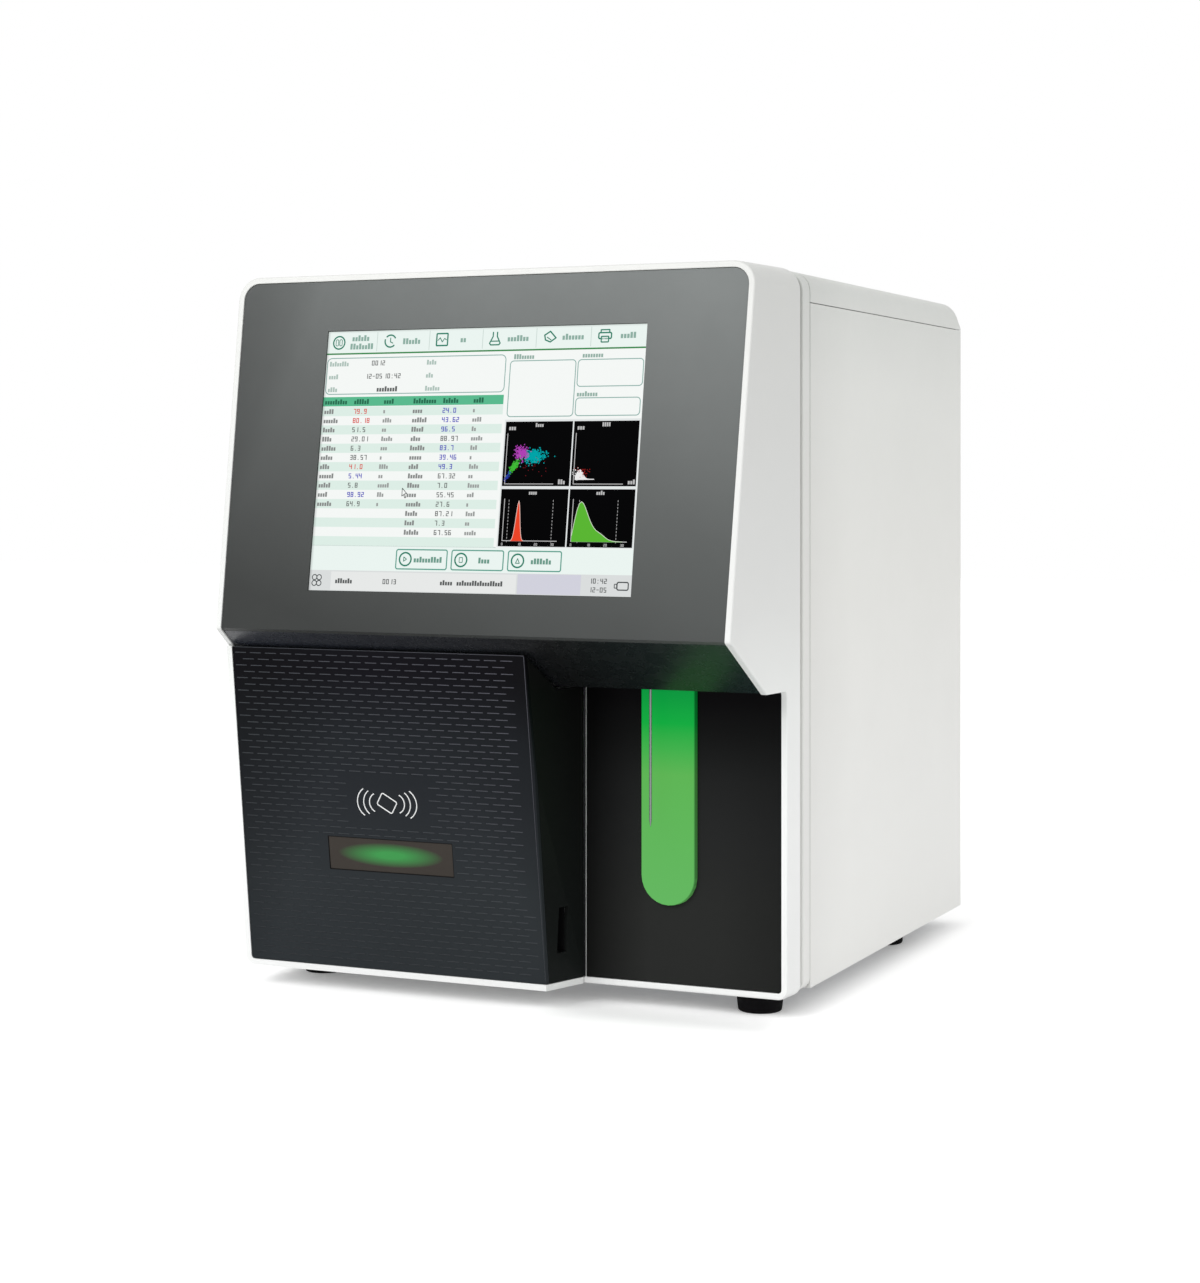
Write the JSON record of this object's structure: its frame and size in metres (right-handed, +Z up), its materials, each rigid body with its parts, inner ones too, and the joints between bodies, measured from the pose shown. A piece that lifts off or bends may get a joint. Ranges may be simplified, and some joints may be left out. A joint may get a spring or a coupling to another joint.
{
  "type": "hematology analyzer",
  "caption": "Bench-top blood cell analyzer: leaning touch screen over a hinged reagent door and an open sample bay with a lifting needle and a green start key.",
  "frame": {"origin": "centre of the footprint, on the surface the feet stand on", "axes": "+Z up, front facing -Y, +X to the right seen from the front"},
  "size_m": [0.354, 0.427, 0.44],
  "materials": {
    "white_plastic": "satin moulded housing plastic",
    "casing_paint": "fine textured warm white powder coat",
    "bezel_grey": "satin dark grey",
    "door_black": "satin black with moulded dashes",
    "gloss_black": "piano black",
    "panel_black": "satin black",
    "screen": "lit touch screen",
    "key_green": "translucent green, lit from behind",
    "smoked_window": "smoked brown clear plastic",
    "rubber": "black rubber",
    "bright_steel": "bare stainless steel",
    "zinc_steel": "zinc plated sheet",
    "inner_grey": "light grey plastic",
    "bottle": "milky polyethylene",
    "cap_blue": "blue plastic",
    "clear_plastic": "clear acrylic",
    "circuit_board": "green solder mask",
    "engine_black": "black moulded plastic",
    "anodised": "grey anodised",
    "unit_steel": "folded steel case, mostly air inside"
  },
  "bodies": {
    "casing": {"front_housing": "white_plastic", "trim_band": "white_plastic", "left_side_panel": "casing_paint", "right_side_panel": "casing_paint", "top_cover": "casing_paint", "base_pan": "zinc_steel", "rear_panel": "casing_paint", "front_left_foot": "rubber", "front_right_foot": "rubber", "rear_left_foot": "rubber", "rear_right_foot": "rubber", "screen_bezel": "bezel_grey", "touch_screen": "screen", "chin_panel": "gloss_black", "sample_panel": "panel_black", "key_switch": "engine_black", "lift_bracket": "anodised", "left_guide_rod": "bright_steel", "right_guide_rod": "bright_steel", "lift_motor": "engine_black", "lift_belt": "rubber", "probe_wash_block": "clear_plastic", "hinge_bracket": "zinc_steel", "reagent_compartment": "inner_grey", "door_catch_magnet": "engine_black", "left_reagent_bottle": "bottle", "right_reagent_bottle": "bottle", "left_bottle_cap": "cap_blue", "right_bottle_cap": "cap_blue", "bulkhead": "zinc_steel", "reaction_bath": "clear_plastic", "pump_head": "engine_black", "syringe_barrel": "clear_plastic", "syringe_drive": "engine_black", "valve_block": "clear_plastic", "main_board": "circuit_board", "power_supply": "unit_steel", "optical_bench": "anodised", "fan_frame": "engine_black", "fan_guard": "bright_steel", "power_inlet": "engine_black", "data_ports": "inner_grey", "fluid_ports": "zinc_steel"},
    "door": {"door_shell": "white_plastic", "door_front": "door_black", "door_side": "panel_black", "status_window": "smoked_window", "status_lamp": "key_green", "card_reader_board": "circuit_board", "door_hinge_pin": "bright_steel"},
    "probe": {"sample_probe": "bright_steel", "probe_carriage": "engine_black"},
    "drive_pulley": {"drive_pulley": "anodised"},
    "idler_pulley": {"idler_pulley": "anodised"},
    "start_key": {"start_key": "key_green"},
    "power_rocker": {"power_rocker": "rubber"},
    "fan_rotor": {"fan_rotor": "engine_black"},
    "pump_rotor": {"pump_rotor": "inner_grey"},
    "syringe_piston": {"syringe_piston": "bright_steel"}
  },
  "joints": [
    {"name": "door_hinge", "type": "hinge", "parent": "casing", "child": "door", "pos_m": [-0.16931, -0.1467, 0.1], "axis": [0, 0, -1], "range_deg": [0, 100]},
    {"name": "probe_lift", "type": "slide", "parent": "casing", "child": "probe", "axis": [0, 0, 1], "range_m": [0, 0.084]},
    {"name": "drive_pulley_spin", "type": "hinge", "parent": "casing", "child": "drive_pulley", "pos_m": [0.1357, -0.1185, 0.2256], "axis": [0, 1, 0], "range_deg": [0, 545]},
    {"name": "idler_pulley_spin", "type": "hinge", "parent": "casing", "child": "idler_pulley", "pos_m": [0.1357, -0.1185, 0.3316], "axis": [0, 1, 0], "range_deg": [0, 545]},
    {"name": "start_key_press", "type": "slide", "parent": "casing", "child": "start_key", "axis": [0, 1, 0], "range_m": [0, 0.0025], "stiffness_N_per_m": 1000},
    {"name": "power_rocker_tilt", "type": "hinge", "parent": "casing", "child": "power_rocker", "pos_m": [-0.118, 0.2087, 0.075], "axis": [-1, 0, 0], "range_deg": [0, 22.9]},
    {"name": "fan_spin", "type": "hinge", "parent": "casing", "child": "fan_rotor", "pos_m": [0.096, 0.1915, 0.341], "axis": [0, 1, 0], "continuous": true},
    {"name": "pump_spin", "type": "hinge", "parent": "casing", "child": "pump_rotor", "pos_m": [0.092, -0.0935, 0.053], "axis": [0, 1, 0], "continuous": true},
    {"name": "syringe_stroke", "type": "slide", "parent": "casing", "child": "syringe_piston", "axis": [0, 0, 1], "range_m": [0, 0.028]}
  ],
  "couplings": [
    {"joint": "drive_pulley_spin", "follows": "probe_lift", "rad_per_m": 112.36},
    {"joint": "idler_pulley_spin", "follows": "probe_lift", "rad_per_m": 112.36}
  ]
}
